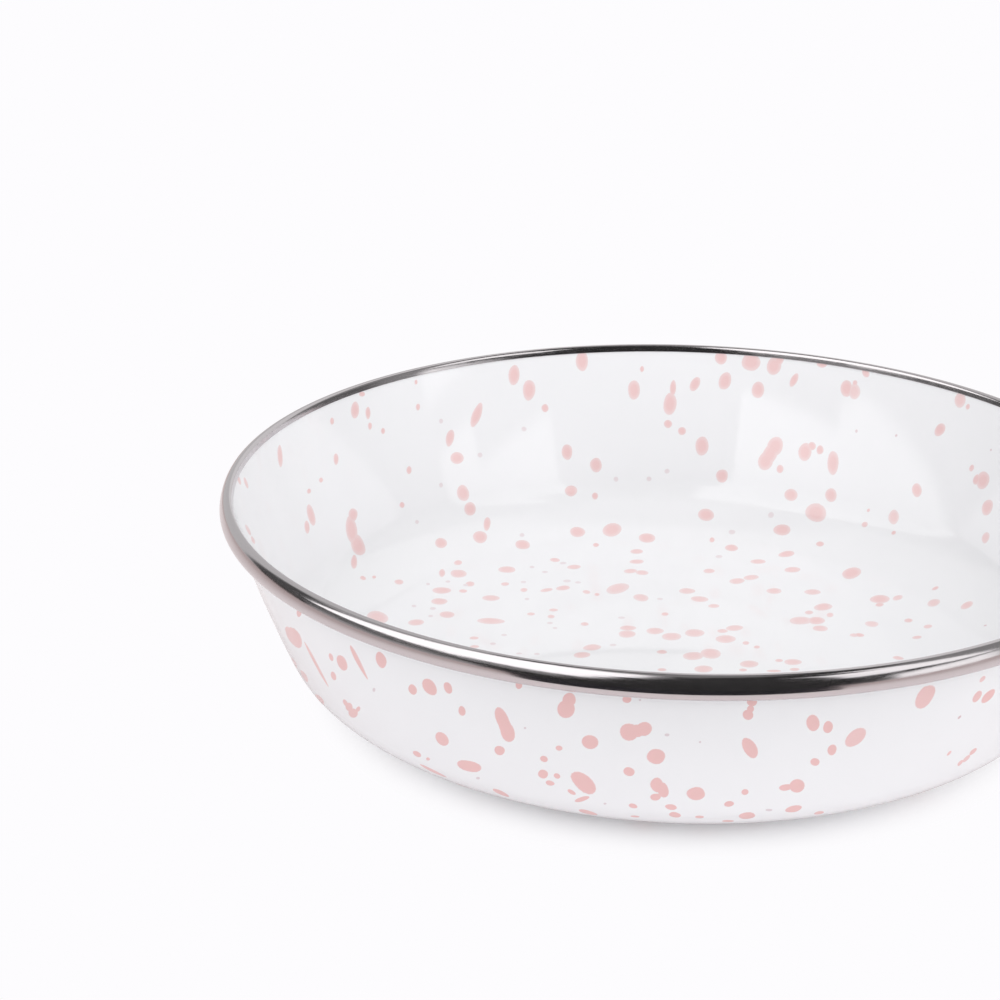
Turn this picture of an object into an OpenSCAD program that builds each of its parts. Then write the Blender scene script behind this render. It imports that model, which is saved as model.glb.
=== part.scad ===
// Enamelled steel serving bowl with a stainless band crimped over its lip.
// Every layer of the wall is one outline, drawn at two depths and turned about the axis.
// The origin is at the middle of the foot, on the plane that the bowl stands on, with Z up.

/* [Bowl] */
// Diameter over the rim band
rim_d = 300; // [220:1:380]
// Height from the standing plane to the crest of the rim
height = 70; // [64:1:80]
// How far the rim stands out beyond the foot on each side
spread = 66; // [62:0.5:72]
// Outer radius of the heel, the shallow turn out of the foot
heel_r = 74; // [66:1:80]
// Slope at which the heel turns into the knuckle
heel_a = 32; // [28:0.5:35]
// Outer radius of the knuckle, the tighter turn up into the wall
knuckle_r = 18.5; // [12:0.5:25]
// Outer radius of the wall's long sweep from the knuckle to the lip
wall_r = 400; // [260:10:1200]

/* [Base] */
// Width of the flat ring that the bowl stands on
foot_ring_w = 10; // [5:0.5:20]
// Width of the slope between that ring and the raised panel
kick_w = 30; // [15:1:45]
// Rise of the middle panel above the standing plane
kick_h = 1.2; // [0.5:0.1:3]

/* [Sheet and coats] */
// Thickness of the pressed steel sheet
steel_t = 0.7; // [0.5:0.05:0.9]
// Thickness of each fired coat of enamel
enamel_t = 0.2; // [0.15:0.05:0.3]

/* [Rim] */
// Thickness of the stainless strip
band_t = 0.35; // [0.3:0.05:0.5]
// Inner radius of the sheet's turn over the lip
bend_r = 0.15; // [0.1:0.05:0.4]
// Outer radius of the band's shoulder, between its crest and its face
shoulder_r = 3; // [2.6:0.1:5]
// Outer radius of the band's bulging face
face_r = 11; // [8:0.5:20]
// Outer radius of the roll at the band's lower edge
bead_r = 2.8; // [2.4:0.1:3.4]
// Angle above level, seen from its centre, at which the crest turns into the shoulder
crest_a = 62; // [50:1:75]
// Angle at which the shoulder turns into the face
shoulder_a = 24; // [16:1:40]
// Angle at which the face turns into the roll
face_a = 10; // [2:1:14]
// Angle on the roll at which the turned lip ends inside it
hem_a = -20; // [-45:1:0]
// Length of the band's leg down the inside of the lip
band_in = 1; // [0.4:0.1:3]
// Gap between the ends of the strip at its butt seam
seam_gap = 0.2; // [0.1:0.05:0.5]

/* [Hidden] */

// Facets round the axis, and along each arc of the outline
$fn = 180;
kick_n = 4;
heel_n = 8;
knuckle_n = 10;
wall_n = 8;
bend_n = 12;
shoulder_n = 6;
face_n = 4;
bead_n = 10;
leg_n = 1;

// Depths are measured inwards from the outer face of the outer coat
core_out = enamel_t;
core_in = core_out + steel_t;
coat_in = core_in + enamel_t;
band_face = coat_in + band_t;

// Base: the slope is two equal arcs, so it leaves the ring and meets the panel level
foot_r = rim_d / 2 - spread;
ring_in_r = foot_r - foot_ring_w;
panel_r = ring_in_r - kick_w;
kick_r = (kick_w * kick_w + kick_h * kick_h) / (4 * kick_h);
kick_a = asin(kick_w / (2 * kick_r));

// Rim: each arc hands over to the next where both point the same way, so the outline is smooth.
// The roll gives the widest point, and rim_rise is the crest's height above the roll's centre.
crest_r = bend_r + band_face - core_out;
rim_rise = bead_r * sin(face_a) + face_r * (sin(shoulder_a) - sin(face_a))
    + shoulder_r * (sin(crest_a) - sin(shoulder_a)) + crest_r * (1 - sin(crest_a));
bead_c = [rim_d / 2 - bead_r, height - rim_rise];
face_c = bead_c - (face_r - bead_r) * toward(face_a);
shoulder_c = face_c + (face_r - shoulder_r) * toward(shoulder_a);
crest_c = shoulder_c + (shoulder_r - crest_r) * toward(crest_a);

// Wall: the heel leaves the foot level, and each arc runs smoothly out of the one before it,
// up to the turned lip's
heel_c = [foot_r, heel_r];
knuckle_c = heel_c + (heel_r - knuckle_r) * toward(heel_a - 90);
wall_c = meet(knuckle_c, wall_r - knuckle_r, crest_c, wall_r - core_out + bend_r);
wall_a0 = heading(wall_c, knuckle_c);
wall_a1 = heading(wall_c, crest_c);

// Where the band's leg ends on the wall, where its roll ends, and what its seam takes up
band_a0 = wall_a1 - band_in / wall_r * 180 / PI;
low_z = bead_c[1] - bead_r;
seam_a = seam_gap / (rim_d / 2) * 180 / PI;

// Direction in degrees from one point to another
function heading(a, b) = atan2(b[1] - a[1], b[0] - a[0]);

// Unit vector at an angle above level
function toward(a) = [cos(a), sin(a)];

// The point at distance ra from a and rb from b that lies on the axis side of both
function meet(a, ra, b, rb) =
    let (
        d = norm(b - a),
        u = (b - a) / d,
        along = (ra * ra - rb * rb + d * d) / (2 * d),
        aside = sqrt(ra * ra - along * along)
    )
    a + along * u + aside * [-u[1], u[0]];

// Points of an arc about c, from angle a0 to angle a1 in n steps
function arc(c, r, a0, a1, n) =
    [for (i = [0 : n]) let (a = a0 + (a1 - a0) * i / n) c + r * toward(a)];

// Outline of the base at depth d, from the axis to the outer edge of the standing ring
function base_line(d) = concat(
    [[0, kick_h + d]],
    arc([panel_r, kick_h - kick_r], kick_r + d, 90, 90 - kick_a, kick_n),
    arc([ring_in_r, kick_r], kick_r - d, -90 - kick_a, -90, kick_n)
);

// Outline of the wall at depth d, from the standing ring to angle a of the wall's arc
function wall_line(d, a) = concat(
    arc(heel_c, heel_r - d, -90, heel_a - 90, heel_n),
    arc(knuckle_c, knuckle_r - d, heel_a - 90, wall_a0, knuckle_n),
    arc(wall_c, wall_r - d, wall_a0, a, wall_n)
);

// Outline at depth d over the lip and down its outside, to angle a of the roll's arc
function lip_line(d, a) =
    let (inset = band_face - d)
    concat(
        arc(crest_c, crest_r - inset, wall_a1 + 180, crest_a, bend_n),
        arc(shoulder_c, shoulder_r - inset, crest_a, shoulder_a, shoulder_n),
        arc(face_c, face_r - inset, shoulder_a, face_a, face_n),
        arc(bead_c, bead_r - inset, face_a, a, bead_n)
    );

// Radius of the outer coat at height z on the wall
function wall_at(z) = wall_c[0] + sqrt(wall_r * wall_r - pow(z - wall_c[1], 2));

// Takes out points that repeat where two arcs join
function joined(line) =
    [for (i = [0 : len(line) - 1]) if (i == 0 || norm(line[i] - line[i - 1]) > 0) line[i]];

function reversed(line) = [for (i = [len(line) - 1 : -1 : 0]) line[i]];

// The ring between two outlines, turned about the axis
module turned(outer, inner, sweep = 360) {
    rotate_extrude(angle = sweep)
        polygon(concat(joined(outer), reversed(joined(inner))));
}

// Outline of the steel sheet or a coat at depth d, from the axis over the turned lip
function full_line(d) =
    concat(base_line(d), wall_line(d, wall_a1), lip_line(d, hem_a));

// Pressed steel shell, its edge turned outwards and down in an open hem
module steel_core() {
    color("dimgray") turned(full_line(core_out), full_line(core_in));
}

// Fired coat on the inside, which also covers the outer face of the turned lip
module inner_enamel() {
    color("whitesmoke") turned(full_line(core_in), full_line(coat_in));
}

// Fired coat on the outside and under the foot, which ends below the turned lip
module outer_enamel() {
    color("white")
        turned(
            concat(base_line(0), wall_line(0, wall_a1)),
            concat(base_line(core_out), wall_line(core_out, wall_a1))
        );
}

// Outline of the band's outer face, or of its inner face where depth is coat_in
function band_line(d) =
    concat(arc(wall_c, wall_r - d, band_a0, wall_a1, leg_n), lip_line(d, -90));

// Crimped stainless strip, with its lower edge turned in against the wall
module rim_band() {
    color("silver")
        rotate([0, 0, seam_a / 2])
            turned(
                concat(band_line(band_face), [[wall_at(low_z), low_z]]),
                concat(band_line(coat_in), [[wall_at(low_z + band_t), low_z + band_t]]),
                360 - seam_a
            );
}

steel_core();
inner_enamel();
outer_enamel();
rim_band();
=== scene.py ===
# %% [markdown]
# # An enamelled steel serving bowl
# The real bowl is pressed from thin sheet steel, coated with white glass enamel, spattered
# with pink enamel while wet, and fired. A stainless strip is crimped over its lip. This
# lesson turns each of those layers as on a lathe, lays the drops on them one by one, and
# gives every layer the finish of the real one.

# %% Load the fixed frame
import math
import random

import bpy
import numpy as np
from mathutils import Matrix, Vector
from mathutils.bvhtree import BVHTree


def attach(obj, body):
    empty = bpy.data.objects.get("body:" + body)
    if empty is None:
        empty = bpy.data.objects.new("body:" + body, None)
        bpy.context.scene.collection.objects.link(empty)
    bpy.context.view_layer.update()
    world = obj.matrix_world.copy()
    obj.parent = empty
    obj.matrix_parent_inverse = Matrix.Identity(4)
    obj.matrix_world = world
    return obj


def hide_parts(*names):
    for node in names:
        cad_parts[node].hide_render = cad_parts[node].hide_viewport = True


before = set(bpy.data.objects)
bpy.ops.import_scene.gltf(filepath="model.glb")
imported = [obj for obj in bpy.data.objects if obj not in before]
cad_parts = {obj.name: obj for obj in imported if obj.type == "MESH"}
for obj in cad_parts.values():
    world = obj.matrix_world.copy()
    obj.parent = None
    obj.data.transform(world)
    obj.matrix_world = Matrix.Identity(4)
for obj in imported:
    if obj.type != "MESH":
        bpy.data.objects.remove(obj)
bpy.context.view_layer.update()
print("nodes:", sorted(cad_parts))

# %% [markdown]
# ## The sizes
# Each size is that of the construction model, in metres, so every piece made here stands
# exactly where the construction has it. Only the strip's leg down the inside is longer,
# 1.5 mm where the construction has 1 mm. Depths are measured inwards from the outer face of
# the outer coat: through that coat, the steel, the inner coat and the strip over the lip.

# %% Sizes
MM = 0.001
RIM_R, HEIGHT, SPREAD = 150 * MM, 70 * MM, 66 * MM
HEEL_R, HEEL_A = 74 * MM, 32
KNUCKLE_R, WALL_R = 18.5 * MM, 400 * MM
RING_W, KICK_W, KICK_H = 10 * MM, 30 * MM, 1.2 * MM
STEEL_T, ENAMEL_T, BAND_T = 0.7 * MM, 0.2 * MM, 0.35 * MM
BEND_R, SHOULDER_R, FACE_R, BEAD_R = 0.15 * MM, 3 * MM, 11 * MM, 2.8 * MM
CREST_A, SHOULDER_A, FACE_A, HEM_A = 62, 24, 10, -20
LEG, SEAM = 1.5 * MM, 0.2 * MM

CORE_OUT = ENAMEL_T
CORE_IN = CORE_OUT + STEEL_T
COAT_IN = CORE_IN + ENAMEL_T
BAND_FACE = COAT_IN + BAND_T
print("wall thickness in mm:", round(COAT_IN / MM, 2))

# %% [markdown]
# ## The camera
# The camera comes first, because the drops are placed through it. It stands 0.3 m above the
# table and looks 21 degrees down, a little to the left of the bowl, so that the bowl runs
# out of the picture on the right. A 72 mm lens on a 36 mm sensor makes one pixel of the
# 1000 pixel picture a two-thousandth of the distance.

# %% Camera
LENS, SENSOR, PICTURE = 72, 36, 1000
CAMERA_AT, LOOK_DOWN, LOOK_LEFT = (0, -0.6182, 0.3019), 0.3729, 0.0952
bpy.ops.object.select_all(action="DESELECT")
bpy.ops.object.camera_add(
    location=CAMERA_AT, rotation=(math.pi / 2 - LOOK_DOWN, 0, LOOK_LEFT)
)
camera = bpy.context.object
camera.name = "camera"
camera.data.lens, camera.data.sensor_width = LENS, SENSOR
bpy.context.scene.camera = camera
bpy.context.scene.view_settings.view_transform = "Standard"
bpy.context.view_layer.update()

FOCAL = PICTURE * LENS / SENSOR
EYE = camera.matrix_world.translation.copy()
TURN = camera.matrix_world.to_3x3()


def sight(x, y):
    """Direction from the camera through a pixel of the picture."""
    return (TURN @ Vector((x - PICTURE / 2, PICTURE / 2 - y, -FOCAL))).normalized()


def pixel(point):
    """Where a point of the scene shows in the picture."""
    p = TURN.transposed() @ (Vector(point) - EYE)
    return Vector((PICTURE / 2 - FOCAL * p.x / p.z, PICTURE / 2 + FOCAL * p.y / p.z))


print("the middle of the foot shows at", [round(v) for v in pixel((0, 0, 0))])

# %% [markdown]
# ## The outline
# The bowl is a body of revolution, so its whole form is one outline in the XZ plane. The
# outline is a chain of strokes, each a straight line or an arc that starts in the direction
# in which the last one ended. The same chain is drawn at several depths. An arc is kept as
# its centre, its radius and its two angles, because both the lathe work and the laying of
# the drops need it.

# %% Directions and circles


def toward(degrees):
    return Vector((math.cos(math.radians(degrees)), math.sin(math.radians(degrees))))


def heading(a, b):
    return math.degrees(math.atan2(b.y - a.y, b.x - a.x))


def meet(a, ra, b, rb):
    """The point at distance ra from a and rb from b, on the axis side of both."""
    apart = (b - a).length
    u = (b - a) / apart
    along = (ra**2 - rb**2 + apart**2) / (2 * apart)
    return a + along * u + math.sqrt(ra**2 - along**2) * Vector((-u.y, u.x))


def rise(radius, low, high):
    """How far an arc climbs from one angle above level to another."""
    return radius * (math.sin(math.radians(high)) - math.sin(math.radians(low)))


# %% Centres of the arcs
FOOT_R = RIM_R - SPREAD
RING_IN_R = FOOT_R - RING_W
PANEL_R = RING_IN_R - KICK_W
KICK_R = (KICK_W**2 + KICK_H**2) / (4 * KICK_H)
KICK_A = math.degrees(math.asin(KICK_W / (2 * KICK_R)))
CREST_R = BEND_R + BAND_FACE - CORE_OUT
ROLL_TO_CREST = (
    rise(BEAD_R, 0, FACE_A)
    + rise(FACE_R, FACE_A, SHOULDER_A)
    + rise(SHOULDER_R, SHOULDER_A, CREST_A)
    + rise(CREST_R, CREST_A, 90)
)
BEAD_C = Vector((RIM_R - BEAD_R, HEIGHT - ROLL_TO_CREST))
FACE_C = BEAD_C - (FACE_R - BEAD_R) * toward(FACE_A)
SHOULDER_C = FACE_C + (FACE_R - SHOULDER_R) * toward(SHOULDER_A)
CREST_C = SHOULDER_C + (SHOULDER_R - CREST_R) * toward(CREST_A)
HEEL_C = Vector((FOOT_R, HEEL_R))
KNUCKLE_C = HEEL_C + (HEEL_R - KNUCKLE_R) * toward(HEEL_A - 90)
WALL_C = meet(KNUCKLE_C, WALL_R - KNUCKLE_R, CREST_C, WALL_R - CORE_OUT + BEND_R)
WALL_A0, WALL_A1 = heading(WALL_C, KNUCKLE_C), heading(WALL_C, CREST_C)
LEG_A = WALL_A1 - math.degrees(LEG / WALL_R)
LOW_Z = BEAD_C.y - BEAD_R
print("crest centre in mm:", [round(v / MM, 2) for v in CREST_C])

# %% Strokes of the outline at a depth
# A line has its end. An arc has its centre, radius, two angles in degrees and its steps.


def base_strokes(d):
    low, high = Vector((RING_IN_R, KICK_R)), Vector((PANEL_R, KICK_H - KICK_R))
    return [
        ("line", Vector((PANEL_R, KICK_H + d))),
        ("arc", high, KICK_R + d, 90, 90 - KICK_A, 8),
        ("arc", low, KICK_R - d, -90 - KICK_A, -90, 8),
        ("line", Vector((FOOT_R, d))),
    ]


def wall_strokes(d, end=WALL_A1):
    return [
        ("arc", HEEL_C, HEEL_R - d, -90, HEEL_A - 90, 20),
        ("arc", KNUCKLE_C, KNUCKLE_R - d, HEEL_A - 90, WALL_A0, 14),
        ("arc", WALL_C, WALL_R - d, WALL_A0, end, 24),
    ]


def lip_strokes(d, end):
    inset = BAND_FACE - d
    return [
        ("arc", CREST_C, CREST_R - inset, WALL_A1 + 180, CREST_A, 16),
        ("arc", SHOULDER_C, SHOULDER_R - inset, CREST_A, SHOULDER_A, 8),
        ("arc", FACE_C, FACE_R - inset, SHOULDER_A, FACE_A, 6),
        ("arc", BEAD_C, BEAD_R - inset, FACE_A, end, 14),
    ]


print("strokes from the axis to the lip:", len(base_strokes(0) + wall_strokes(0)))

# %% [markdown]
# ## The lathe
# The outline could be a curve with a Screw modifier. Here it is drawn by a pen, a plane
# merged to a single vertex, because that keeps every arc a true one: spinning the pen about
# an arc's centre draws the arc, and extruding it draws a line. When the outline is done,
# spinning all of it about Z turns the piece. The first and last ring are merged, the pole is
# closed, and the normals are made to agree before the skin gets its thickness.

# %% Lathe tools
AROUND = 256  # steps of the spin about the axis
CLOSE = 0.002 * MM  # points nearer than this are merged
SMOOTH_BELOW = math.radians(35)


def only(obj):
    bpy.ops.object.select_all(action="DESELECT")
    obj.select_set(True)
    bpy.context.view_layer.objects.active = obj


def turned(name, start, strokes, sweep=360):
    """Draws an outline from start with the strokes, and spins it about the axis."""
    bpy.ops.object.select_all(action="DESELECT")
    bpy.ops.mesh.primitive_plane_add(size=MM, location=(start.x, 0, start.y))
    obj = bpy.context.object
    obj.name = obj.data.name = name
    bpy.ops.object.transform_apply(location=True, rotation=True, scale=True)
    bpy.ops.object.mode_set(mode="EDIT")
    bpy.ops.mesh.select_all(action="SELECT")
    bpy.ops.mesh.merge(type="CENTER")
    pen = start
    for stroke in strokes:
        if stroke[0] == "line":
            step = stroke[1] - pen
            bpy.ops.mesh.extrude_region_move(
                TRANSFORM_OT_translate={"value": (step.x, 0, step.y)}
            )
            pen = stroke[1]
        else:
            centre, radius, a0, a1, steps = stroke[1:]
            bpy.ops.mesh.spin(
                steps=steps,
                angle=math.radians(a1 - a0),
                center=(centre.x, 0, centre.y),
                axis=(0, 1, 0),
            )
            pen = centre + radius * toward(a1)
    bpy.ops.mesh.select_all(action="SELECT")
    bpy.ops.mesh.spin(
        steps=AROUND, angle=math.radians(sweep), center=(0, 0, 0), axis=(0, 0, 1)
    )
    bpy.ops.mesh.select_all(action="SELECT")
    bpy.ops.mesh.remove_doubles(threshold=CLOSE)
    bpy.ops.mesh.normals_make_consistent(inside=False)
    bpy.ops.object.mode_set(mode="OBJECT")
    return obj


def face_towards(obj, place, direction):
    """Flips the skin if its face nearest to place looks away from direction."""
    near = min(obj.data.polygons, key=lambda f: (f.center - Vector(place)).length)
    if near.normal.dot(Vector(direction)) < 0:
        only(obj)
        bpy.ops.object.mode_set(mode="EDIT")
        bpy.ops.mesh.select_all(action="SELECT")
        bpy.ops.mesh.flip_normals()
        bpy.ops.object.mode_set(mode="OBJECT")


def thickened(obj, thickness):
    """Gives the skin a wall behind its visible face."""
    only(obj)
    skin = obj.modifiers.new("wall", "SOLIDIFY")
    skin.thickness, skin.offset = thickness, -1
    bpy.ops.object.modifier_apply(modifier=skin.name)
    bpy.ops.object.shade_smooth_by_angle(angle=SMOOTH_BELOW)


def seen_faces(obj):
    """A search tree of the skin, for finding what a line of sight meets."""
    points = [v.co.copy() for v in obj.data.vertices]
    return BVHTree.FromPolygons(points, [f.vertices[:] for f in obj.data.polygons])


# %% [markdown]
# ## The enamel coats
# Vitreous enamel is glass fused to the steel at about 800 degrees. One coat covers the
# inside and runs over the turned lip, under the strip. The other covers the outside and the
# foot. One thick white shell would look alike, but here each coat is drawn as the face that
# shows and then given its 0.2 mm inwards with Solidify, so the wall is built up as the real
# one is.

# %% Turn the two coats
ON_PANEL = (0.03, 0.01, 0)  # a place on the raised middle panel
inner_coat = turned(
    "enamel_inside",
    Vector((0, KICK_H + COAT_IN)),
    base_strokes(COAT_IN) + wall_strokes(COAT_IN) + lip_strokes(COAT_IN, HEM_A),
)
face_towards(inner_coat, ON_PANEL, (0, 0, 1))
outer_coat = turned(
    "enamel_outside", Vector((0, KICK_H)), base_strokes(0) + wall_strokes(0)
)
face_towards(outer_coat, ON_PANEL, (0, 0, -1))
inner_skin, outer_skin = seen_faces(inner_coat), seen_faces(outer_coat)
thickened(inner_coat, ENAMEL_T)
thickened(outer_coat, ENAMEL_T)
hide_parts("inner_enamel")
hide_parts("outer_enamel")
for coat in (inner_coat, outer_coat):
    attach(coat, "root")
    print(coat.name, len(coat.data.polygons), "faces")

# %% [markdown]
# ## The rim band
# A strip of stainless steel is rolled over the lip: a leg inside, a tight crest, a bulging
# face, and a roll at the bottom that comes in under the hem to the wall. A pressed torus
# would give the ring, but not the leg and the roll, so the strip's section is drawn and
# spun. Its two ends meet at a butt seam, so it is spun short of a full turn. A fine bevel
# takes the sharpness off the cut edges, as polishing does.

# %% Turn the band
POLISHED_EDGE, SHARP_ABOVE = 0.07 * MM, math.radians(50)
seam_degrees = math.degrees(SEAM / RIM_R)
wall_low = WALL_C.x + math.sqrt(WALL_R**2 - (LOW_Z - WALL_C.y) ** 2)
band = turned(
    "rim_band_polished",
    WALL_C + (WALL_R - BAND_FACE) * toward(LEG_A),
    [("arc", WALL_C, WALL_R - BAND_FACE, LEG_A, WALL_A1, 2)]
    + lip_strokes(BAND_FACE, -90)
    + [("line", Vector((wall_low, LOW_Z)))],
    360 - seam_degrees,
)
only(band)
bpy.ops.object.mode_set(mode="EDIT")
bpy.ops.mesh.select_all(action="SELECT")
bpy.ops.transform.rotate(
    value=-math.radians(seam_degrees / 2), orient_axis="Z", center_override=(0, 0, 0)
)
bpy.ops.object.mode_set(mode="OBJECT")
face_towards(band, (-RIM_R, 0, BEAD_C.y), (-1, 0, 0))
thickened(band, BAND_T)
soft_edge = band.modifiers.new("polished edge", "BEVEL")
soft_edge.width, soft_edge.segments = POLISHED_EDGE, 2
soft_edge.limit_method, soft_edge.angle_limit = "ANGLE", SHARP_ABOVE
bpy.ops.object.modifier_apply(modifier=soft_edge.name)
bpy.ops.object.shade_smooth_by_angle(angle=SMOOTH_BELOW)
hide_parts("rim_band")
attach(band, "root")
print(band.name, len(band.data.polygons), "faces, seam at +X")

# %% [markdown]
# ## Materials
# Colours are written as the sRGB hex values that a picture editor shows, and one function
# turns them to the linear values that the shader works with. One function adds a node with
# its settings and its inputs, where an input is a value or the socket that feeds it.

# %% Material tools
SRGB_KNEE = 0.04045


def linear(hex_colour):
    """Linear red, green, blue and alpha of an sRGB hex value, by the standard formula."""
    parts = [int(hex_colour[i : i + 2], 16) / 255 for i in (1, 3, 5)]
    return [
        v / 12.92 if v <= SRGB_KNEE else ((v + 0.055) / 1.055) ** 2.4 for v in parts
    ] + [1]


def add(tree, kind, inputs=(), **settings):
    made = tree.nodes.new("ShaderNode" + kind)
    for name, value in settings.items():
        setattr(made, name, value)
    for key, value in dict(inputs).items():
        if isinstance(value, bpy.types.NodeSocket):
            tree.links.new(value, made.inputs[key])
        else:
            made.inputs[key].default_value = value
    return made


def new_material(name):
    made = bpy.data.materials.new(name)
    made.use_nodes = True
    made.node_tree.nodes.clear()
    return made, made.node_tree


print("the linear value of #808080 is", round(linear("#808080")[0], 3))

# %% [markdown]
# ### White vitreous enamel
# Enamel is glass, so its IOR is near 1.5 and its gloss is sharp. A picture could give the
# white, but noise of real sizes stays fine from any distance. Firing leaves an orange peel
# about 3 mm from crest to crest, and the pressing a slow wave under it. Both are so low
# that they only show where a window is mirrored. The white is a little cloudy. The
# spattered pink is the same glass with pigment, so it shares the gloss.

# %% Enamel
PEEL, PEEL_HIGH = 3 * MM, 0.0012 * MM
WAVE, WAVE_HIGH = 28 * MM, 0.02 * MM
CLOUD = 45 * MM
GLASS_ROUGH, GLASS_IOR = 0.05, 1.5
WHITE, CLOUDED_WHITE = "#F2F2F4", "#F6F6F8"
PINK, LILAC_GREY = "#EDBDBB", "#CDBFC8"


def enamel(name, colour_of):
    made, tree = new_material(name)
    place = add(tree, "TexCoord").outputs["Object"]
    peel = add(tree, "TexNoise", {"Vector": place, "Scale": 1 / PEEL, "Detail": 1})
    wave = add(tree, "TexNoise", {"Vector": place, "Scale": 1 / WAVE, "Detail": 0})
    low = add(
        tree,
        "Bump",
        {"Height": wave.outputs["Fac"], "Distance": WAVE_HIGH, "Strength": 1},
    )
    relief = add(
        tree,
        "Bump",
        {
            "Height": peel.outputs["Fac"],
            "Distance": PEEL_HIGH,
            "Strength": 1,
            "Normal": low.outputs["Normal"],
        },
    )
    cloud = add(tree, "TexNoise", {"Vector": place, "Scale": 1 / CLOUD, "Detail": 2})
    white = add(
        tree,
        "Mix",
        {"Factor": cloud.outputs["Fac"], 6: linear(WHITE), 7: linear(CLOUDED_WHITE)},
        data_type="RGBA",
    )
    shader = add(
        tree,
        "BsdfPrincipled",
        {
            "Base Color": colour_of(tree, white.outputs[2]),
            "Roughness": GLASS_ROUGH,
            "IOR": GLASS_IOR,
            "Normal": relief.outputs["Normal"],
        },
    )
    add(tree, "OutputMaterial", {"Surface": shader.outputs[0]})
    return made


def plain_white(tree, white):
    return white


def spattered(tree, white):
    """White at a drop's edge, pink inside it, and lilac grey in a fine mist."""
    tone = add(tree, "Attribute", attribute_name="tone").outputs["Fac"]
    mist = add(tree, "Attribute", attribute_name="mist").outputs["Fac"]
    pigment = add(
        tree,
        "Mix",
        {"Factor": mist, 6: linear(PINK), 7: linear(LILAC_GREY)},
        data_type="RGBA",
    )
    return add(
        tree, "Mix", {"Factor": tone, 6: white, 7: pigment.outputs[2]}, data_type="RGBA"
    ).outputs[2]


white_enamel = enamel("white_vitreous_enamel", plain_white)
pink_enamel = enamel("pink_spattered_enamel", spattered)
for coat in (inner_coat, outer_coat):
    coat.data.materials.append(white_enamel)
    print(white_enamel.name, "on", coat.name)

# %% [markdown]
# ### Polished stainless steel
# The strip is polished along its length, so very fine lines run round the rim. They are
# finer than a pixel, so they are drawn 0.3 mm apart and a few millimetres long, and give the
# mirrored windows slightly streaked edges. The lines need coordinates that follow the rim:
# the angle times the radius along it, and the radius and height across it. The angle jumps
# where the butt seam is, so the pattern has no other seam.

# %% Coordinates round the rim
LINE_WIDE, LINE_LONG, LINE_DEEP = 0.3 * MM, 5 * MM, 0.0009 * MM
stainless, tree = new_material("polished_stainless_steel")
place = add(tree, "TexCoord").outputs["Object"]
xyz = add(tree, "SeparateXYZ", {0: place}).outputs
back_x, back_y = (
    add(tree, "Math", {0: xyz[axis], 1: -1}, operation="MULTIPLY").outputs[0]
    for axis in "XY"
)
angle = add(tree, "Math", {0: back_y, 1: back_x}, operation="ARCTAN2").outputs[0]
flat = add(tree, "CombineXYZ", {"X": xyz["X"], "Y": xyz["Y"]}).outputs[0]
radius = add(tree, "VectorMath", {0: flat}, operation="LENGTH").outputs["Value"]
scaled = {
    axis: add(tree, "Math", {0: value, 1: scale}, operation="MULTIPLY").outputs[0]
    for axis, value, scale in (
        ("X", angle, RIM_R / LINE_LONG),
        ("Y", radius, 1 / LINE_WIDE),
        ("Z", xyz["Z"], 1 / LINE_WIDE),
    )
}
grain = add(tree, "CombineXYZ", scaled).outputs[0]

# %% Stainless steel
SMOOTHEST, ROUGHEST = 0.1, 0.19
NOISE_LOW, NOISE_HIGH = 0.3, 0.7
lines = add(tree, "TexNoise", {"Vector": grain, "Scale": 1, "Detail": 3})
brushed = add(
    tree,
    "Bump",
    {"Height": lines.outputs["Fac"], "Distance": LINE_DEEP, "Strength": 1},
)
haze = add(
    tree,
    "MapRange",
    {
        0: lines.outputs["Fac"],
        1: NOISE_LOW,
        2: NOISE_HIGH,
        3: SMOOTHEST,
        4: ROUGHEST,
    },
)
shader = add(
    tree,
    "BsdfPrincipled",
    {
        "Base Color": linear("#CEC9CB"),
        "Metallic": 1,
        "Roughness": haze.outputs[0],
        "Normal": brushed.outputs["Normal"],
    },
)
add(tree, "OutputMaterial", {"Surface": shader.outputs[0]})
band.data.materials.append(stainless)
print(stainless.name, "on", band.name)

# %% [markdown]
# ### Ground coat on the steel
# Before the white, the steel gets a nearly black ground coat that bonds to it. It is hidden
# here between the coats, but it is finished all the same: dark glass with a slight mottle.

# %% Ground coat
MOTTLE, GROUND_ROUGH = 4 * MM, 0.35
ground, tree = new_material("dark_ground_coat_on_steel")
place = add(tree, "TexCoord").outputs["Object"]
mottle = add(tree, "TexNoise", {"Vector": place, "Scale": 1 / MOTTLE, "Detail": 3})
dark = add(
    tree,
    "Mix",
    {"Factor": mottle.outputs["Fac"], 6: linear("#1E1F22"), 7: linear("#34353A")},
    data_type="RGBA",
)
shader = add(
    tree,
    "BsdfPrincipled",
    {"Base Color": dark.outputs[2], "Roughness": GROUND_ROUGH, "IOR": GLASS_IOR},
)
add(tree, "OutputMaterial", {"Surface": shader.outputs[0]})
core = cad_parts["steel_core"]
core.data.materials.clear()
core.data.materials.append(ground)
print(ground.name, "on", core.name)

# %% [markdown]
# ## Spatter
# The maker flicks pink enamel at the bowl. Each drop lands as a thin lens, flush at its
# edge, and runs a little down the wall before it is fired. A pattern in the material could
# show spots too, but none of them would have a place and a shape of its own. So one drop is
# modelled here, a sixteen-sided disc, inset twice and poked. Every drop is a copy of it,
# stretched to its own size and bent to the wall. It has no underside, because there it is
# fused to the coat.

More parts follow.
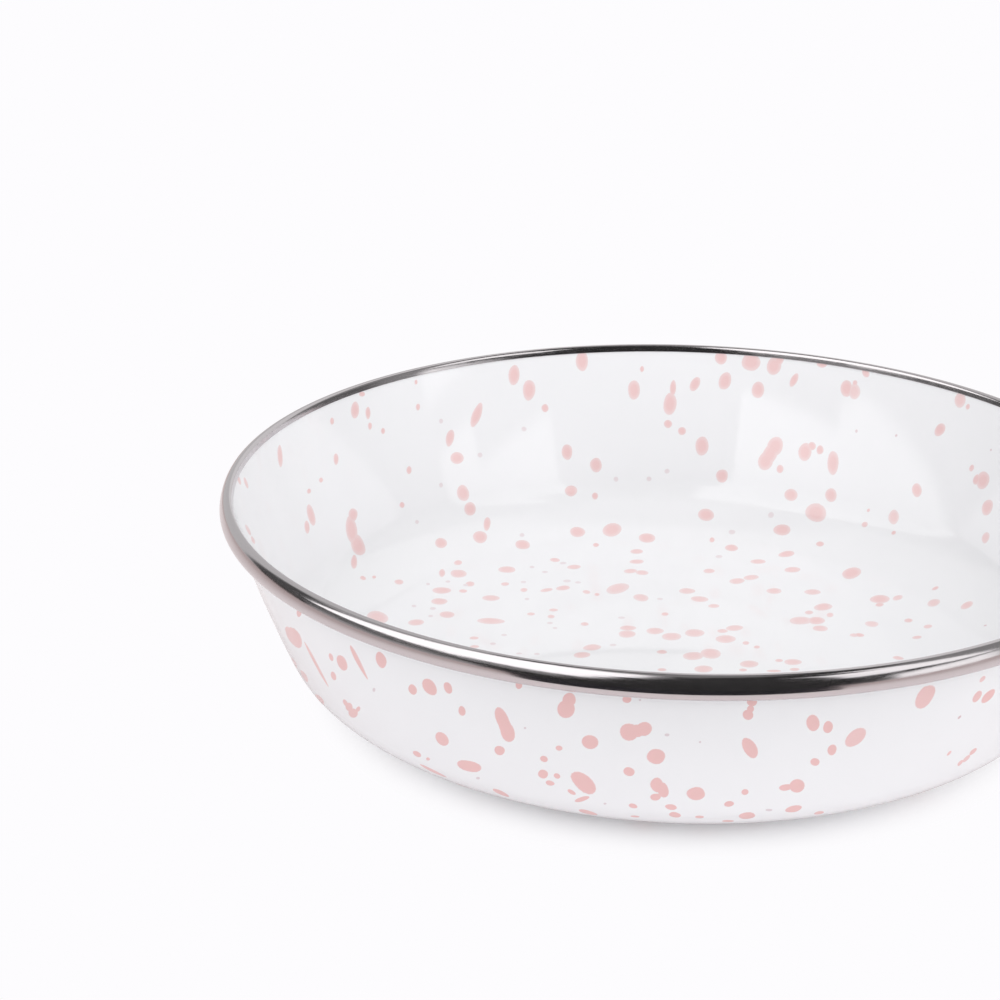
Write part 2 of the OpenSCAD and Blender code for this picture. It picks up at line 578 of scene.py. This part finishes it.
# %% Model one drop
SIDES, BORDER, SLOPE = 16, 0.12, 0.4
bpy.ops.object.select_all(action="DESELECT")
bpy.ops.mesh.primitive_circle_add(vertices=SIDES, radius=1, fill_type="NGON")
drop = bpy.context.object
drop.name = "drop"
bpy.ops.object.mode_set(mode="EDIT")
bpy.ops.mesh.select_all(action="SELECT")
bpy.ops.mesh.inset(thickness=BORDER)
bpy.ops.mesh.inset(thickness=SLOPE)
bpy.ops.mesh.poke()
bpy.ops.object.mode_set(mode="OBJECT")
drop_points = [v.co.copy() for v in drop.data.vertices]
print("one drop:", len(drop.data.vertices), "points", len(drop.data.polygons), "faces")

# %% [markdown]
# The outline's strokes also say where a point a given distance up the wall lies, and which
# way the wall faces there. A drop is described in the picture by its middle, its width and
# height in pixels, its lean in degrees clockwise and its taper. The line of sight through
# its middle meets the wall, and the way in which small steps on the wall show in the
# picture, turned round, gives the drop's true shape on the wall.

# %% Follow the outline


def outline_of(depth):
    """Straight and round strokes with their lengths, from the axis to the lip."""
    pen, chain = Vector((0, KICK_H + depth)), []
    for stroke in base_strokes(depth) + wall_strokes(depth):
        if stroke[0] == "line":
            end = stroke[1]
            length = (end - pen).length
        else:
            centre, radius, a0, a1, _ = stroke[1:]
            end = centre + radius * toward(a1)
            length = radius * math.radians(abs(a1 - a0))
        chain.append((length, stroke, pen))
        pen = end
    return chain


def place_on(chain, s):
    """Point and tangent of the outline, s metres along it."""
    for length, stroke, pen in chain:
        if s <= length or stroke is chain[-1][1]:
            share = min(max(s / length, 0), 1)
            if stroke[0] == "line":
                return pen.lerp(stroke[1], share), (stroke[1] - pen).normalized()
            centre, radius, a0, a1, _ = stroke[1:]
            a = a0 + (a1 - a0) * share
            return centre + radius * toward(a), toward(a + (90 if a1 > a0 else -90))
        s -= length


# %% Find places on the wall
WALL_STEPS = 1600  # places that are tried along the outline
NEAR = 0.5 * MM  # how far the faceted skin may lie from the outline
TRIES = 6  # faces that a line of sight may pass before it is given up
STEP, LEAST_R = 0.2 * MM, 2 * MM  # a small step, and the least radius for one round
HIDDEN_BEHIND = 2 * MM  # how far behind another face a hidden place lies


class Wall:
    """One visible face of the bowl: side is 1 for the inside and -1 for the outside.

    Where a drop's edge looks soft, edge_tone is small, and spread makes up for the width
    that a pale edge seems to lose.
    """

    def __init__(self, depth, side, skin, edge_tone, spread):
        self.chain, self.side, self.skin = outline_of(depth), side, skin
        self.edge_tone, self.spread = edge_tone, spread
        self.length = sum(part[0] for part in self.chain)
        self.steps = [self.length * i / WALL_STEPS for i in range(WALL_STEPS + 1)]
        places = [place_on(self.chain, s)[0] for s in self.steps]
        self.places = np.array([[p.x, p.y] for p in places])

    def at(self, s, phi, lift=0):
        """Point s metres along the outline, at angle phi, lift metres off the wall."""
        point, tangent = place_on(self.chain, min(max(s, 0), self.length))
        r = point.x - self.side * tangent.y * lift
        z = point.y + self.side * tangent.x * lift
        return Vector((r * math.cos(phi), r * math.sin(phi), z))

    def normal(self, s, phi):
        tangent = place_on(self.chain, s)[1] * self.side
        outward = -tangent.y
        return Vector((outward * math.cos(phi), outward * math.sin(phi), tangent.x))

    def find(self, x, y):
        """Distance along the outline and angle of what shows at a pixel."""
        start, way = EYE, sight(x, y)
        for _ in range(TRIES):
            hit, normal, _, _ = self.skin.ray_cast(start, way)
            if hit is None:
                return None
            flat = np.array([math.hypot(hit.x, hit.y), hit.z])
            away = ((self.places - flat) ** 2).sum(1)
            near = int(np.argmin(away))
            if normal.dot(way) < 0 and away[near] < NEAR**2:
                return self.steps[near], math.atan2(hit.y, hit.x)
            start = hit + way * NEAR
        return None

    def steps_to_pixels(self, s, phi):
        """How a step round the bowl and a step up the wall show in the picture."""
        s = min(s, self.length - STEP)
        r = max(self.at(s, phi).xy.length, LEAST_R)
        here = pixel(self.at(s, phi))
        side = (pixel(self.at(s, phi + STEP / r)) - here) / STEP
        climb = (pixel(self.at(s + STEP, phi)) - here) / STEP
        return np.array([[side.x, climb.x], [-side.y, -climb.y]])

    def shown(self, s, phi):
        """True if the point is in view from the camera."""
        p = self.at(s, phi)
        way = p - EYE
        if self.normal(s, phi).dot(way) >= 0:
            return False
        hit = self.skin.ray_cast(EYE, way.normalized())
        return hit[0] is None or hit[3] > way.length - HIDDEN_BEHIND


inside = Wall(COAT_IN, 1, inner_skin, edge_tone=0.1, spread=1.1)
outside = Wall(0, -1, outer_skin, edge_tone=0.5, spread=1.04)
print("outline lengths in mm:", [round(w.length / MM, 1) for w in (inside, outside)])

# %% [markdown]
# A drop's outline wanders a little from an ellipse, which three slow waves round it give. It
# is domed 0.06 mm proud of the wall and its edge dips just under the face, so where two
# drops run together, the thicker one shows. Fired glass levels out and the drop mirrors as
# the wall does, so each point takes the wall's own normal. The attribute tone says how much
# pigment a point has, less at the edge, and mist how much it fades to lilac grey.

# %% Lay one drop
PROUD, SINK = 0.06 * MM, 0.02 * MM
LARGEST, SMALLEST = 9 * MM, 0.3 * MM  # limits of a drop's half width
WANDER, WHOLE_TURN = 0.09, 6.3
EDGE_RING, BORDER_RING = 0.99, 0.8  # points further out than this lie on that ring
BORDER_TONE = 0.6  # how much more pigment the border has than the edge
chance = random.Random(11)


def leaning(degrees):
    """Turns a drop's width and height clockwise."""
    cos, sin = math.cos(math.radians(degrees)), math.sin(math.radians(degrees))
    return np.array([[cos, sin], [-sin, cos]])


def lay(wall, s, phi, shape, tone, mist, taper=0):
    """Copies the drop to a place; shape takes the unit disc to metres round and up."""
    first, sizes, last = np.linalg.svd(shape)
    shape = first @ np.diag(np.clip(sizes, SMALLEST, LARGEST)) @ last
    if np.linalg.det(shape) * wall.side > 0:
        shape = shape @ np.diag([-1, 1])  # or the disc would face the wall
    waves = [
        (n, chance.uniform(0, WANDER / n), chance.uniform(0, WHOLE_TURN))
        for n in (2, 3, 4)
    ]
    r0 = wall.at(s, phi).xy.length
    mesh = drop.data.copy()
    tones, normals = [], []
    for vertex, co in zip(mesh.vertices, drop_points):
        out = math.hypot(co.x, co.y)
        a = math.atan2(co.y, co.x)
        wander = 1 + sum(h * math.sin(n * a + w) for n, h, w in waves)
        x, y = co.x * wander * (1 - taper * co.y), co.y * wander
        side, climb = shape @ np.array([x, y])
        lift, thick = PROUD * (1 - out * out / 2), 1
        if out > EDGE_RING:
            lift, thick = -SINK, wall.edge_tone
        elif out > BORDER_RING:
            lift, thick = PROUD / 2, BORDER_TONE + wall.edge_tone
        place = s + climb, phi + side / r0
        if r0 < PANEL_R:  # the middle panel is flat, so the drop is laid out flat on it
            flat = Vector((r0 + climb, side))
            place = flat.length, phi + math.atan2(flat.y, flat.x)
        vertex.co = wall.at(*place, lift)
        vertex.co.z = max(vertex.co.z, 0)  # the bowl stands on its ring, not on a drop
        normals.append(wall.normal(*place))
        tones.append(tone * min(thick, 1))
    for name, values in (("tone", tones), ("mist", [mist] * len(tones))):
        mesh.attributes.new(name, "FLOAT", "POINT").data.foreach_set("value", values)
    mesh.shade_smooth()
    mesh.normals_split_custom_set_from_vertices(normals)
    obj = bpy.data.objects.new("drop", mesh)
    bpy.context.collection.objects.link(obj)
    return obj


def lay_seen(wall, x, y, wide, high, lean=0, taper=0, tone=0.92, mist=0):
    """Lays a drop that the picture shows at a pixel, with its size there in pixels."""
    found = wall.find(x, y)
    if found is None:
        print("no wall at", x, y)
        return None
    s, phi = found
    drawn = leaning(lean) @ np.diag([wide / 2, high / 2]) * wall.spread
    shape = np.linalg.inv(wall.steps_to_pixels(s, phi)) @ drawn
    return lay(wall, s, phi, shape, tone, mist, taper)


print("a drop stands", PROUD / MM, "mm proud of the wall")

# %% [markdown]
# The drops on the side that faces the camera, in the picture's pixels: middle x and y,
# width, height, then where it matters the lean and the taper, which is positive where the
# top is the narrow end. Two rows close together make one drop of a joined shape.

# %% Drops that show on the outside
OUTSIDE_DROPS = [
    # at the left, near the silhouette
    (294, 638, 12, 24, -32, -0.3), (289, 632, 6, 12, -30), (316, 664, 2.6, 52, -28),
    (331, 657, 4, 8, -20),
    (342, 663, 9, 17, -25), (333.5, 676, 5, 9, -20), (359, 663, 4, 39, -28, -0.4),
    (381, 660, 10, 17, -20), (294, 663, 4, 12, -25),
    (304, 676, 4, 14, -30), (319, 700, 3, 14, -40), (299, 613, 5, 8), (353, 713, 10, 9, 40),
    (349, 707, 7, 9, -20), (345.5, 703, 4, 8, -30), (358, 709, 4, 6, 30),
    # left of the middle
    (412.6, 689.5, 8, 11, -25), (429.5, 687, 12, 19, -32), (448, 688, 8, 12, -25),
    (462, 711, 7, 10, -15), (442, 739, 11, 16, -42), (417, 754, 9, 5, 30),
    (428, 759, 4, 3, 20), (433, 771, 30, 2.6, 26), (469, 766, 25, 11, 14),
    (502.5, 720, 12.5, 27, -22), (505, 726, 12.5, 26, -22), (507.5, 732, 14, 21, -22),
    (499.6, 750.6, 11, 9, 20),
    (519, 685, 7, 8), (501, 793, 18, 4, 24),
    # the middle
    (569, 700, 14, 14), (566, 709, 18, 18), (627, 699, 9, 8), (590, 742, 17, 14, 15),
    (629, 732, 19, 17), (644, 729, 16, 14, -10), (637, 731, 14, 13),
    (559, 748, 7, 5, 15), (544, 759, 8, 6, 20),
    (543, 774, 10, 9), (557, 776, 7, 5, 20), (550, 783, 9, 5, 15),
    (583.6, 783, 30, 16, 38), (571.6, 792, 9, 4, 30),
    (582, 799, 15, 4.6, -16), (656, 756.5, 19, 15), (629, 771.5, 12, 8.5, 15),
    (657, 785, 13, 15, -15), (663, 790, 11, 16, -20), (655.6, 797, 11, 7, -5),
    (633, 806, 9, 4.5, 15), (588, 812.5, 20, 3.6, 14), (635, 816.5, 9, 1.8, 5),
    # right of the middle
    (696, 793.6, 19, 13), (745, 792, 7, 6), (729, 804, 10, 5.6, -10),
    (747, 816, 17, 6.6, -3), (728, 821, 12, 2), (671, 807, 12, 5.6, 5),
    (675, 815, 12, 5.4, 10), (699.5, 817, 9, 2.6), (752, 702, 10, 9), (750.5, 709, 7, 8),
    (748, 715, 11, 10, 20), (750, 748, 13, 23, -32), (813, 723, 13, 17, -10),
    (828, 727, 10, 12, 20), (815, 762, 9, 8), (797, 786, 15, 14), (786, 787.5, 14, 6.5, -10),
    (793.6, 809, 17, 6.6, -12), (832, 750, 9, 11, 20), (819, 813, 10, 3, -10),
]
OUTSIDE_MIST = [
    (667, 735, 5, 3), (478, 778, 4, 2.6), (769, 810, 7, 2.4), (605, 803.5, 3, 2),
    (374, 690, 3, 4), (525, 728, 2.6, 2), (700, 742, 2.4, 2), (640, 700, 2.6, 2),
]
outer_drops = [lay_seen(outside, *row) for row in OUTSIDE_DROPS]
outer_drops += [
    lay_seen(outside, *row, tone=0.6, mist=0.75) for row in OUTSIDE_MIST
]
print("outside:", len(outer_drops), "drops placed by eye")

# %% [markdown]
# The drops inside fall into two lists, those on the wall and those on the floor. Seen at
# this slant a round drop on the floor shows about two and a half times as wide as high.

# %% Drops that show inside
INSIDE_WALL = [
    # the left of the wall
    (355, 410, 8, 17), (368, 413, 5, 12), (332, 421, 4, 7), (370, 426, 4, 7),
    (383, 431, 4, 6), (280, 456, 5, 22, -4), (336, 459, 5, 11), (321, 480, 4, 5),
    (309, 491, 4, 5), (311, 515, 7, 22, -14), (307, 527, 5, 13, -6), (353, 515, 9, 13),
    (351.5, 530, 11, 28, -8), (357.5, 545, 13, 22, -22), (354, 562, 6, 14),
    (409, 470, 5, 8), (402, 505, 5, 6), (362, 394, 6, 5), (416, 382, 3, 5),
    (418, 407, 4, 7), (239, 480, 3, 10, -20), (246, 483, 3, 12, -20), (248, 530, 3, 12, -25),
    (253, 540, 3, 8, -25), (363, 578, 6, 4, 20), (374, 577, 4, 3),
    # the back of the wall
    (514, 375, 11, 20, 4), (529, 390, 12, 21, 4), (582, 361, 12, 20), (634, 390, 12, 19),
    (476.5, 415, 9, 25, 19), (450, 438, 8, 17, 12), (457, 458, 13, 12),
    (463, 493, 12, 16, -8), (470, 509, 11, 14), (487, 524, 7, 13, 8), (480, 537, 14, 12, 10),
    (441, 543, 12, 10, 10), (522.6, 544.7, 15, 9, 6), (545, 408, 7, 8), (567, 452, 11, 15),
    (596, 465, 12, 14), (571, 491, 12, 11), (595, 496, 6, 7), (577.5, 532, 15, 10, 4),
    (612, 530, 19, 13, -8), (596, 545, 6, 4), (642, 369, 4, 6), (670, 404, 13, 22, 5),
    (673, 388, 6, 16, 4), (668, 424, 8, 8), (682, 431, 8, 8), (702, 446, 13, 19, 2),
    (695, 384, 9, 15, 24), (721, 358, 12, 13), (725, 381, 12, 18, 14), (751, 362, 18, 18),
    (758, 390, 12, 17, 4), (774, 366, 14, 18, 16), (779, 360, 9, 12, 30),
    (794, 380, 7, 14, 28), (822, 364, 10, 7), (775, 446.5, 15, 20, 22), (770, 454, 14, 26, 28),
    (765.5, 461, 15, 18, 22),
    (805, 452, 13, 18, 8), (812, 446, 8, 8), (820, 450, 7, 9), (780, 469, 7, 8),
    (722, 476, 12, 13, 10), (791, 495, 13, 12, 10), (816, 513, 21, 18, 20),
    (706, 515, 16, 12), (782, 530, 17, 11, -6), (647, 538, 16, 9.5, 3), (712, 540, 5, 5),
    (731.5, 548, 13, 6.5, 3), (786.5, 554, 16, 6, -6), (820, 544, 8, 5),
    (833, 463, 11, 24), (831, 495, 11, 14),
]
INSIDE_FLOOR = [
    # the left of the floor
    (458, 562.6, 8, 5), (442, 573, 6, 8), (458.5, 573.6, 16, 8, 4), (507, 569.6, 17, 6.5),
    (399, 582, 9, 5, 6), (470, 584, 9, 5), (505, 584, 8, 3.6), (441.6, 590.4, 18, 6.6),
    (491, 598, 17, 5.6), (439.4, 601.4, 16, 6.4), (447, 614.6, 15, 6.4, 3),
    (416, 622.4, 16, 6, -2), (491, 621, 27, 6, 3), (377.5, 617.5, 22, 12, 12),
    (474, 638, 9, 3), (474.6, 646.6, 9, 3), (463, 591, 8, 3.6),
    # the middle of the floor
    (555, 560, 10, 4, 4), (574, 567, 13, 4.6, -3), (524, 590, 7, 4), (546.5, 590, 12, 3.6, -8),
    (563, 588, 14, 4.6, -6), (586.5, 592, 8, 3.6, 6), (597, 594.5, 5, 3),
    (553.5, 610, 9, 3), (551, 616.5, 7, 3.6), (531, 614, 8, 3), (584.6, 624, 8, 3.6),
    (592, 647.4, 18, 6, -3), (582, 655, 16, 6, -2), (636.7, 551.5, 13, 4.6),
    (636.7, 561.6, 14, 4.4), (630.5, 571, 13, 4.4, -3), (642, 572.6, 13, 4.6, 4),
    (617.5, 588.7, 22, 10, -12), (641, 597.6, 15, 7, 5), (665, 614, 7, 3.4),
    (628, 628, 16, 5), (627, 634, 17, 7), (655, 631, 17, 6.4), (671.6, 636.5, 19, 7.6),
    (694.7, 633, 19, 7.6), (662, 652, 10, 4), (693, 656, 20, 8), (710.7, 653.6, 20, 10),
    (703.6, 669, 18, 7), (662, 669.7, 9, 3),
    # the right of the floor
    (725.6, 639, 19, 8), (734.5, 628, 17, 5.6, -3), (722.6, 631, 10, 4), (746, 643, 7, 3.6),
    (757, 647, 6, 3), (749, 664, 18, 7), (743, 670, 8, 3), (779, 660.5, 8, 3),
    (792.7, 662, 17, 6), (794.7, 669.4, 10, 3), (774, 671, 14, 2.6), (687, 591, 16, 5.6, 2),
    (699.6, 599, 17, 5.6, 3), (713.7, 606, 11, 4), (709, 571, 11, 4.6),
    (737, 581, 15, 5.6, -5), (751, 577.5, 15, 5, -5), (758, 561.6, 15, 4.6),
    (792.4, 569.7, 16, 5.4, -2), (774, 591, 15, 5.6), (812.5, 592, 16, 5.4),
    (823, 607, 18, 7, -3), (809, 612.5, 8, 4), (800.6, 620.6, 22, 7.6), (816, 620.6, 18, 7),
    (820.4, 628.4, 15, 5.6, 3), (830, 615, 7, 4.4),
]
INSIDE_MIST = [
    (522, 535, 5, 4), (441, 421, 4, 5), (441, 485, 4, 5), (417, 522, 4, 4), (524, 429, 5, 5),
    (480, 455, 5, 5), (616, 479, 5, 5), (649, 479, 5, 5), (667, 471, 5, 5), (771, 515, 6, 6),
    (732, 532, 7, 4.6), (428, 584, 4, 2.6), (448, 581.6, 5, 2.4), (414, 606, 5, 2.6),
    (433, 608.5, 6, 3), (430.6, 616, 5, 2.4), (504, 635, 6, 2.4), (493, 643.7, 6, 2.6),
    (532, 567, 5, 2.4), (523.5, 582, 6, 2.4), (527, 599, 5, 2.4), (550, 623, 6, 2.4),
    (555, 628, 5, 2), (537, 654, 6, 2.2), (519, 653.5, 6, 2), (563, 563, 7, 2.6),
    (567, 581, 8, 2.8), (578, 582.5, 6, 2.4), (660, 599, 6, 2.4), (621.5, 617.7, 7, 2.4),
    (613, 645, 7, 2.6), (719, 556.5, 7, 3), (466, 585, 6, 2.6), (545, 572, 6, 2.2),
]
inner_drops = [lay_seen(inside, *row, tone=0.74) for row in INSIDE_WALL]
inner_drops += [lay_seen(inside, *row, tone=0.68) for row in INSIDE_FLOOR]
inner_drops += [lay_seen(inside, *row, tone=0.42, mist=0.6) for row in INSIDE_MIST]
print("inside:", len(inner_drops), "drops placed by eye")

# %% [markdown]
# The rest of the bowl is spattered in the same way by chance, with a fixed seed so that it
# comes out the same each time. A place that the picture shows is left as it is. The chance
# of a place grows with its radius, so the drops are spread evenly by area. About a third
# are 4 mm wide or more, a third 2.4 to 4 mm and a third finer. Underneath, the ring that the
# bowl stands on stays bare, and so does the slope for 12 mm inside it.

# %% Drops by chance, where the picture doesn't show the bowl
SHOWN_X = (205, 837)  # the picture's columns in which drops are placed one by one from the lists
DROP_KINDS = (
    # share of the drops up to this kind, least and greatest width in mm
    (0.3, 4, 7.5),
    (0.65, 2.4, 4),
    (1, 0.9, 2.4),
)
LONGEST, LEAN, STRENGTH = 1.5, 20, (0.85, 1.08)
MIST_BELOW, MIST = 1.3 * MM, 0.6
BARE_INSIDE_RING = 12 * MM


def spatter(wall, per_square_metre, tone, bare_from):
    """Lays drops by chance, and leaves bare the base from a radius on."""
    radii = [wall.places[i][0] for i in range(len(wall.steps))]
    area = 2 * math.pi * sum(radii) / len(radii) * wall.length
    made = []
    for _ in range(int(area * per_square_metre)):
        i = chance.choices(range(len(radii)), weights=radii)[0]
        s, phi = wall.steps[i], chance.uniform(-math.pi, math.pi)
        kind = chance.random()
        low, high = next(widths for share, *widths in DROP_KINDS if kind < share)
        size = chance.uniform(low, high) * MM
        long = size * chance.uniform(1, LONGEST)
        lean = chance.gauss(0, LEAN)
        strength = tone * chance.uniform(*STRENGTH)
        mist = MIST if size < MIST_BELOW else 0
        if bare_from < wall.at(s, phi).xy.length and s < FOOT_R:
            continue
        seen = SHOWN_X[0] < pixel(wall.at(s, phi)).x < SHOWN_X[1]
        if seen and wall.shown(s, phi):
            continue
        shape = leaning(lean) @ np.diag([size / 2, long / 2])
        made.append(lay(wall, s, phi, shape, min(strength, 1), mist))
    return made


inner_drops += spatter(inside, per_square_metre=3700, tone=0.72, bare_from=RIM_R)
outer_drops += spatter(
    outside, per_square_metre=4300, tone=0.9, bare_from=RING_IN_R - BARE_INSIDE_RING
)
print("drops in all:", len(inner_drops), "inside,", len(outer_drops), "outside")

# %% [markdown]
# The copies are joined to one piece for each side of the bowl. Each piece rides on the bowl
# and takes its finish from the coat that carries it.

# %% Join the drops


def joined(name, copies):
    """Joins one side's drops to a piece of pink enamel."""
    bpy.ops.object.select_all(action="DESELECT")
    copies = [c for c in copies if c]
    for copy in copies:
        copy.select_set(True)
    bpy.context.view_layer.objects.active = copies[0]
    bpy.ops.object.join()
    obj = bpy.context.object
    obj.name = obj.data.name = name
    obj.data.materials.clear()
    obj.data.materials.append(pink_enamel)
    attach(obj, "root")
    print(obj.name, len(obj.data.polygons), "faces")


joined("spatter_inside", inner_drops)
joined("spatter_outside", outer_drops)
bpy.data.objects.remove(drop)

# %% [markdown]
# ## The studio
# The bowl stands on a plain pale table that runs out into white. The light is soft, nearly
# even all round, and a little stronger from the camera's side. Polished metal needs
# something to mirror: a tall window on each side of the camera with a dark gap between and
# below them, and a grey room behind. Lamps would be mirrored too, but they would also light
# the bowl from their sides, so the room is painted into the world by direction. Light Path
# keeps it to mirror rays, so the light on the bowl stays plain, and the camera itself sees
# white. Azimuth is counted from the camera's side towards the right.

# %% What the band mirrors
PANELS = [
    # from and to azimuth, from and to elevation, brightness, softness, with angles in degrees
    ("ceiling", -200, 200, 76, 100, 0.25, 8),
    ("room behind on the left", -200, -116, -10, 66, 0.66, 8),
    ("wall on the left", -120, -88, 36, 70, 0.42, 6),
    ("dim corner on the left", -120, -90, 2, 36, 0.09, 6),
    ("room behind on the right", 126, 200, -10, 66, 0.85, 12),
    ("wall on the right", 77, 128, -10, 62, 0.3, 8),
    ("dim corner on the right", 92, 118, -12, 22, 0.14, 8),
    ("above the left window", -95, -18, 70, 81, 0.9, 5),
    ("left window, far half", -94, -47, 13, 76, 1.75, 2),
    ("left window, near half", -50, -17.5, 16.5, 76, 1.75, 1.5),
    ("its right edge, further up", -18.5, -14.5, 25, 76, 1.75, 3),
    ("its right edge, at the top", -16.5, -9, 42, 74, 1.75, 4),
    ("sill below the left window", -50, -24, 9, 14, 0.3, 2),
    ("right window, near half", 39, 66, 17, 51, 1.4, 1.5),
    ("right window, far half", 64, 77, 13.5, 64, 1.4, 2),
    ("pale wall below the right window", 50, 77, -10, 10, 1.4, 2),
    ("table's far edge on the left", -92, -43, -4, 3, 0.4, 3),
    ("wall below the left window", -92, -50, 3, 12, 0.14, 2),
]
DARK = 0.024  # brightness between the panels
print(len(PANELS), "mirrored panels")

# %% Direction of a ray
IN_DEGREES = 180 / math.pi
world = bpy.data.worlds.new("studio")
bpy.context.scene.world = world
world.use_nodes = True
tree = world.node_tree
tree.nodes.clear()
way = add(tree, "TexCoord").outputs["Generated"]
xyz = add(tree, "SeparateXYZ", {0: way}).outputs
front = add(tree, "Math", {0: xyz["Y"], 1: -1}, operation="MULTIPLY").outputs[0]
turn = add(tree, "Math", {0: xyz["X"], 1: front}, operation="ARCTAN2").outputs[0]
azimuth = add(tree, "Math", {0: turn, 1: IN_DEGREES}, operation="MULTIPLY").outputs[0]
tilt = add(tree, "Math", {0: xyz["Z"]}, operation="ARCSINE").outputs[0]
elevation = add(tree, "Math", {0: tilt, 1: IN_DEGREES}, operation="MULTIPLY").outputs[0]

# %% Paint the panels
mirrored = DARK
for name, left, right, low, high, bright, soft in PANELS:
    mask = 1
    for value, edge, way_in in (
        (azimuth, left, soft),
        (azimuth, right, -soft),
        (elevation, low, soft),
        (elevation, high, -soft),
    ):
        within = add(
            tree,
            "MapRange",
            {0: value, 1: edge - way_in / 2, 2: edge + way_in / 2, 3: 0, 4: 1},
            interpolation_type="SMOOTHSTEP",
        ).outputs[0]
        mask = add(tree, "Math", {0: mask, 1: within}, operation="MULTIPLY").outputs[0]
    painted = add(tree, "Mix", {0: mask, 2: mirrored, 3: bright}, label=name)
    mirrored = painted.outputs[0]

# %% Soft light and backdrop
ALL_ROUND = 0.85
GROWTH = Vector((0.12, -0.42, 0.24))  # how much stronger the light is towards each axis
BACKDROP = "#FDFCFE"
slope = add(tree, "VectorMath", {0: way, 1: GROWTH}, operation="DOT_PRODUCT")
fill = add(
    tree, "Math", {0: slope.outputs["Value"], 1: ALL_ROUND}, operation="ADD"
).outputs[0]
light_path = add(tree, "LightPath").outputs
lit = add(
    tree, "Mix", {0: light_path["Is Glossy Ray"], 2: fill, 3: mirrored}
).outputs[0]
soft_light = add(tree, "Background", {"Color": linear("#FFFFFF"), "Strength": lit})
backdrop = add(tree, "Background", {"Color": linear(BACKDROP), "Strength": 1})
both = add(
    tree,
    "MixShader",
    {0: light_path["Is Camera Ray"], 1: soft_light.outputs[0], 2: backdrop.outputs[0]},
)
add(tree, "OutputWorld", {"Surface": both.outputs[0]})
print(world.name, "with", len(tree.nodes), "nodes")

# %% [markdown]
# The table is a large disc. A curved backdrop could hide its edge, but a disc is simpler.
# Close to the bowl it is a pale matt surface that takes the soft shadow, and further out
# the camera sees it turn to the white of the backdrop, so no edge shows. In the band it
# looks warmer than it is, and greyer further out, where less light reaches it; that grey
# is painted shade in the table's colour.

# %% Table
TABLE_R, TABLE_MIDDLE = 3, 0.3
WHITE_FROM, WHITE_TO = 95 * MM, 125 * MM
# where the table's mirrored colour starts and ends greying, as painted shade
PAINTED_SHADE_FROM, PAINTED_SHADE_TO = 200 * MM, 700 * MM
bpy.ops.object.select_all(action="DESELECT")
bpy.ops.mesh.primitive_circle_add(vertices=128, radius=TABLE_R, fill_type="NGON")
table = bpy.context.object
table.name = "table"
bpy.ops.object.mode_set(mode="EDIT")
bpy.ops.mesh.select_all(action="SELECT")
bpy.ops.mesh.inset(thickness=TABLE_R - TABLE_MIDDLE)
bpy.ops.object.mode_set(mode="OBJECT")

# %% Pale matt table
pale, tree = new_material("pale_matt_table")
place = add(tree, "TexCoord").outputs["Object"]
out = add(tree, "VectorMath", {0: place}, operation="LENGTH").outputs["Value"]
far = add(
    tree,
    "MapRange",
    {0: out, 1: WHITE_FROM, 2: WHITE_TO, 3: 0, 4: 1},
    interpolation_type="SMOOTHSTEP",
)
ray = add(tree, "LightPath").outputs
blend = add(
    tree, "Math", {0: far.outputs[0], 1: ray["Is Camera Ray"]}, operation="MULTIPLY"
).outputs[0]
# Seen by mirror rays the table is warm close in and greys further out: painted shade for the
# light that falls off there.
distance = add(tree, "MapRange", {0: out, 1: PAINTED_SHADE_FROM, 2: PAINTED_SHADE_TO, 3: 0, 4: 1})
warm_and_painted_shade = add(
    tree,
    "Mix",
    {"Factor": distance.outputs[0], 6: linear("#FAF2F2"), 7: linear("#CDBEBC")},
    data_type="RGBA",
).outputs[2]
tint = add(
    tree,
    "Mix",
    {"Factor": ray["Is Glossy Ray"], 6: linear("#FAF9FB"), 7: warm_and_painted_shade},
    data_type="RGBA",
)
matt = add(tree, "BsdfDiffuse", {"Color": tint.outputs[2]})
white_out = add(tree, "Emission", {"Color": linear(BACKDROP), "Strength": 1})
both = add(tree, "MixShader", {0: blend, 1: matt.outputs[0], 2: white_out.outputs[0]})
add(tree, "OutputMaterial", {"Surface": both.outputs[0]})
table.data.materials.append(pale)
print(table.name, "turns white", [WHITE_FROM, WHITE_TO], "m from the middle")

# %% [markdown]
# The room behind the camera is dark. A dark sheet on the table in front of the bowl, below
# the picture, is painted shade: it carries that dark on to the lower half of the band. It
# is one triangle whose point towards the bowl is cut off straight, because that leaves the
# dark in the band where it belongs. The camera itself doesn't see it.

# %% Dark sheet of painted shade
SHADE_SHEET_AT, SHADE_SHEET_R, SHADE_SHEET_WIDER = (0.01, -2.088, 0.5 * MM), 2, 1.3
SHADE_SHEET_EDGE = -0.258
# This dark sheet is painted shade for the dark in front of the bowl. Only light and mirror
# rays meet it.
bpy.ops.object.select_all(action="DESELECT")
bpy.ops.mesh.primitive_circle_add(
    vertices=3, radius=SHADE_SHEET_R, fill_type="NGON", location=SHADE_SHEET_AT
)
shade_sheet = bpy.context.object
shade_sheet.name = "dark_shade_sheet"
shade_sheet.scale = SHADE_SHEET_WIDER, 1, 1
bpy.ops.object.transform_apply(location=True, rotation=True, scale=True)
bpy.ops.object.mode_set(mode="EDIT")
bpy.ops.mesh.select_all(action="SELECT")
bpy.ops.mesh.bisect(
    plane_co=(0, SHADE_SHEET_EDGE, 0), plane_no=(0, 1, 0), clear_outer=True
)
bpy.ops.object.mode_set(mode="OBJECT")
shade_sheet.visible_camera = False
dark_shade_sheet, tree = new_material("dark_shade_sheet")
shade_matt = add(tree, "BsdfDiffuse", {"Color": linear("#2B2A2E")})
add(tree, "OutputMaterial", {"Surface": shade_matt.outputs[0]})
shade_sheet.data.materials.append(dark_shade_sheet)
print(shade_sheet.name, "with", len(shade_sheet.data.vertices), "corners")
